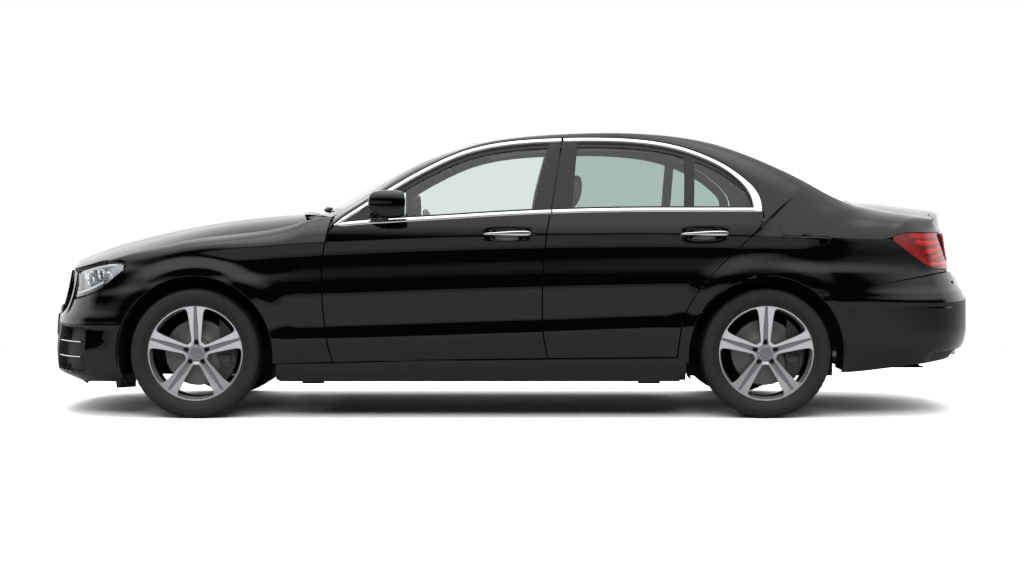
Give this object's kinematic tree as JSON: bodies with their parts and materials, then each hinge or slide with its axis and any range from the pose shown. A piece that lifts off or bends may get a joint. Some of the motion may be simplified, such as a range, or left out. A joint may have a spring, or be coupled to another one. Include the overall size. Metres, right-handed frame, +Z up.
{
  "type": "executive car",
  "caption": "Long four-door saloon car with a hollow cabin and boot, opening doors and lids, steered front wheels and rolling wheels.",
  "frame": {"origin": "on the floor, under the middle of the car's length and width", "axes": "+X towards the nose, +Y to the car's left, +Z up"},
  "size_m": [4.923, 2.06, 1.5002],
  "materials": {
    "paint": "gloss",
    "underbody": "matte",
    "steel": "satin",
    "window_glass": "gloss",
    "grille_black": "gloss",
    "lamp_clear": "gloss",
    "lamp_red": "gloss",
    "trim_black": "matte",
    "leather_black": "satin",
    "liner_black": "matte",
    "engine_metal": "matte",
    "bright_trim": "polished",
    "alloy": "machined",
    "tyre": "matte"
  },
  "bodies": {
    "body": {"sills": "paint", "floor": "underbody", "bulkheads": "underbody", "side_frames": "paint", "hinges": "steel", "front_wings": "paint", "quarter_panels": "paint", "fuel_flap": "paint", "roof": "paint", "windscreen": "window_glass", "rear_screen": "window_glass", "front_bumper": "paint", "rear_bumper": "paint", "grille": "grille_black", "headlamps": "lamp_clear", "tail_lamps": "lamp_red", "dashboard": "trim_black", "front_seats": "leather_black", "rear_seat": "leather_black", "wheel_housings": "liner_black", "chassis_rails": "underbody", "engine": "engine_metal", "exhaust": "steel", "subframes": "underbody", "rear_hubs": "engine_metal"},
    "bonnet": {"bonnet": "paint"},
    "boot_lid": {"boot_lid": "paint"},
    "steering_wheel": {"steering_wheel": "trim_black"},
    "knuckle_left": {"knuckle_left": "engine_metal"},
    "knuckle_right": {"knuckle_right": "engine_metal"},
    "front_door_left": {"front_door_left": "paint", "front_door_glass_left": "window_glass", "front_door_handle_left": "bright_trim", "door_mirror_left": "paint"},
    "front_door_right": {"front_door_right": "paint", "front_door_glass_right": "window_glass", "front_door_handle_right": "bright_trim", "door_mirror_right": "paint"},
    "rear_door_left": {"rear_door_left": "paint", "rear_door_glass_left": "window_glass", "rear_door_handle_left": "bright_trim"},
    "rear_door_right": {"rear_door_right": "paint", "rear_door_glass_right": "window_glass", "rear_door_handle_right": "bright_trim"},
    "front_wheel_left": {"front_rim_left": "alloy", "front_tyre_left": "tyre"},
    "front_wheel_right": {"front_rim_right": "alloy", "front_tyre_right": "tyre"},
    "rear_wheel_left": {"rear_rim_left": "alloy", "rear_tyre_left": "tyre"},
    "rear_wheel_right": {"rear_rim_right": "alloy", "rear_tyre_right": "tyre"}
  },
  "joints": [
    {"name": "front_door_left_hinge", "type": "hinge", "parent": "body", "child": "front_door_left", "pos_m": [0.901, 0.888, 0.66], "axis": [0, 0, -1], "range_deg": [0, 65]},
    {"name": "front_door_right_hinge", "type": "hinge", "parent": "body", "child": "front_door_right", "pos_m": [0.901, -0.888, 0.66], "axis": [0, 0, 1], "range_deg": [0, 65]},
    {"name": "rear_door_left_hinge", "type": "hinge", "parent": "body", "child": "rear_door_left", "pos_m": [-0.234, 0.888, 0.66], "axis": [0, 0, -1], "range_deg": [0, 65]},
    {"name": "rear_door_right_hinge", "type": "hinge", "parent": "body", "child": "rear_door_right", "pos_m": [-0.234, -0.888, 0.66], "axis": [0, 0, 1], "range_deg": [0, 65]},
    {"name": "bonnet_hinge", "type": "hinge", "parent": "body", "child": "bonnet", "pos_m": [1.04, 0, 0.965], "axis": [0, -1, 0], "range_deg": [0, 48]},
    {"name": "boot_lid_hinge", "type": "hinge", "parent": "body", "child": "boot_lid", "pos_m": [-1.586, 0, 0.985], "axis": [0, 1, 0], "range_deg": [0, 68]},
    {"name": "steering_left", "type": "hinge", "parent": "body", "child": "knuckle_left", "pos_m": [1.62, 0.7, 0.334], "axis": [0, 0, 1], "range_deg": [-36, 36]},
    {"name": "steering_right", "type": "hinge", "parent": "body", "child": "knuckle_right", "pos_m": [1.62, -0.7, 0.334], "axis": [0, 0, 1], "range_deg": [-36, 36]},
    {"name": "steering_wheel_turn", "type": "hinge", "parent": "body", "child": "steering_wheel", "pos_m": [0.42, -0.37, 0.905], "axis": [-0.9272, 0, 0.3746], "range_deg": [-468, 468]},
    {"name": "front_wheel_left_spin", "type": "hinge", "parent": "knuckle_left", "child": "front_wheel_left", "pos_m": [1.62, 0.79, 0.334], "axis": [0, 1, 0], "continuous": true},
    {"name": "front_wheel_right_spin", "type": "hinge", "parent": "knuckle_right", "child": "front_wheel_right", "pos_m": [1.62, -0.79, 0.334], "axis": [0, 1, 0], "continuous": true},
    {"name": "rear_wheel_left_spin", "type": "hinge", "parent": "body", "child": "rear_wheel_left", "pos_m": [-1.319, 0.79, 0.334], "axis": [0, 1, 0], "continuous": true},
    {"name": "rear_wheel_right_spin", "type": "hinge", "parent": "body", "child": "rear_wheel_right", "pos_m": [-1.319, -0.79, 0.334], "axis": [0, 1, 0], "continuous": true}
  ],
  "couplings": [
    {"joint": "steering_right", "follows": "steering_left", "ratio": 1},
    {"joint": "steering_wheel_turn", "follows": "steering_left", "ratio": 13}
  ]
}
